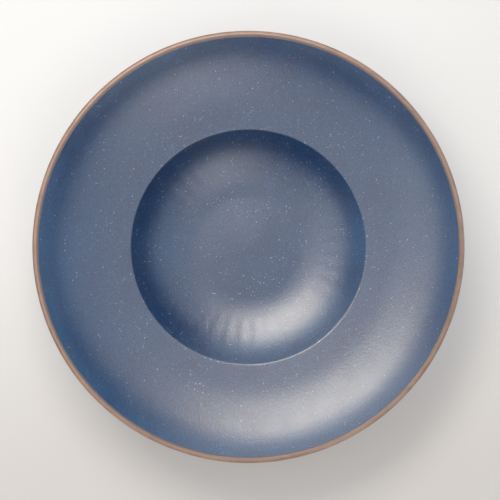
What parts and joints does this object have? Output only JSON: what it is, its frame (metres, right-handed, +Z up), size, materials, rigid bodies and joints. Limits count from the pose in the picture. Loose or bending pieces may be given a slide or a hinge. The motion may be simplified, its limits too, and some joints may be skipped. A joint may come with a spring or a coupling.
{
  "type": "pasta bowl",
  "caption": "Wide-rimmed pasta bowl in blue glazed stoneware, with a deep round well, a curved rim, a brown lip and a bare foot ring.",
  "frame": {"origin": "middle of the foot ring, at the level of the table that the bowl stands on", "axes": "+Z up along the bowl's axis of rotation; +X to the right and +Y to the top of a picture taken from straight above"},
  "size_m": [0.28, 0.28, 0.0505],
  "materials": {
    "clay": "matte",
    "blue_glaze": "satin",
    "lip_oxide": "satin"
  },
  "bodies": {
    "root": {"clay_body": "clay", "upper_glaze": "blue_glaze", "lip_band": "lip_oxide", "underside_glaze": "blue_glaze", "foot_recess_glaze": "blue_glaze"}
  },
  "joints": []
}
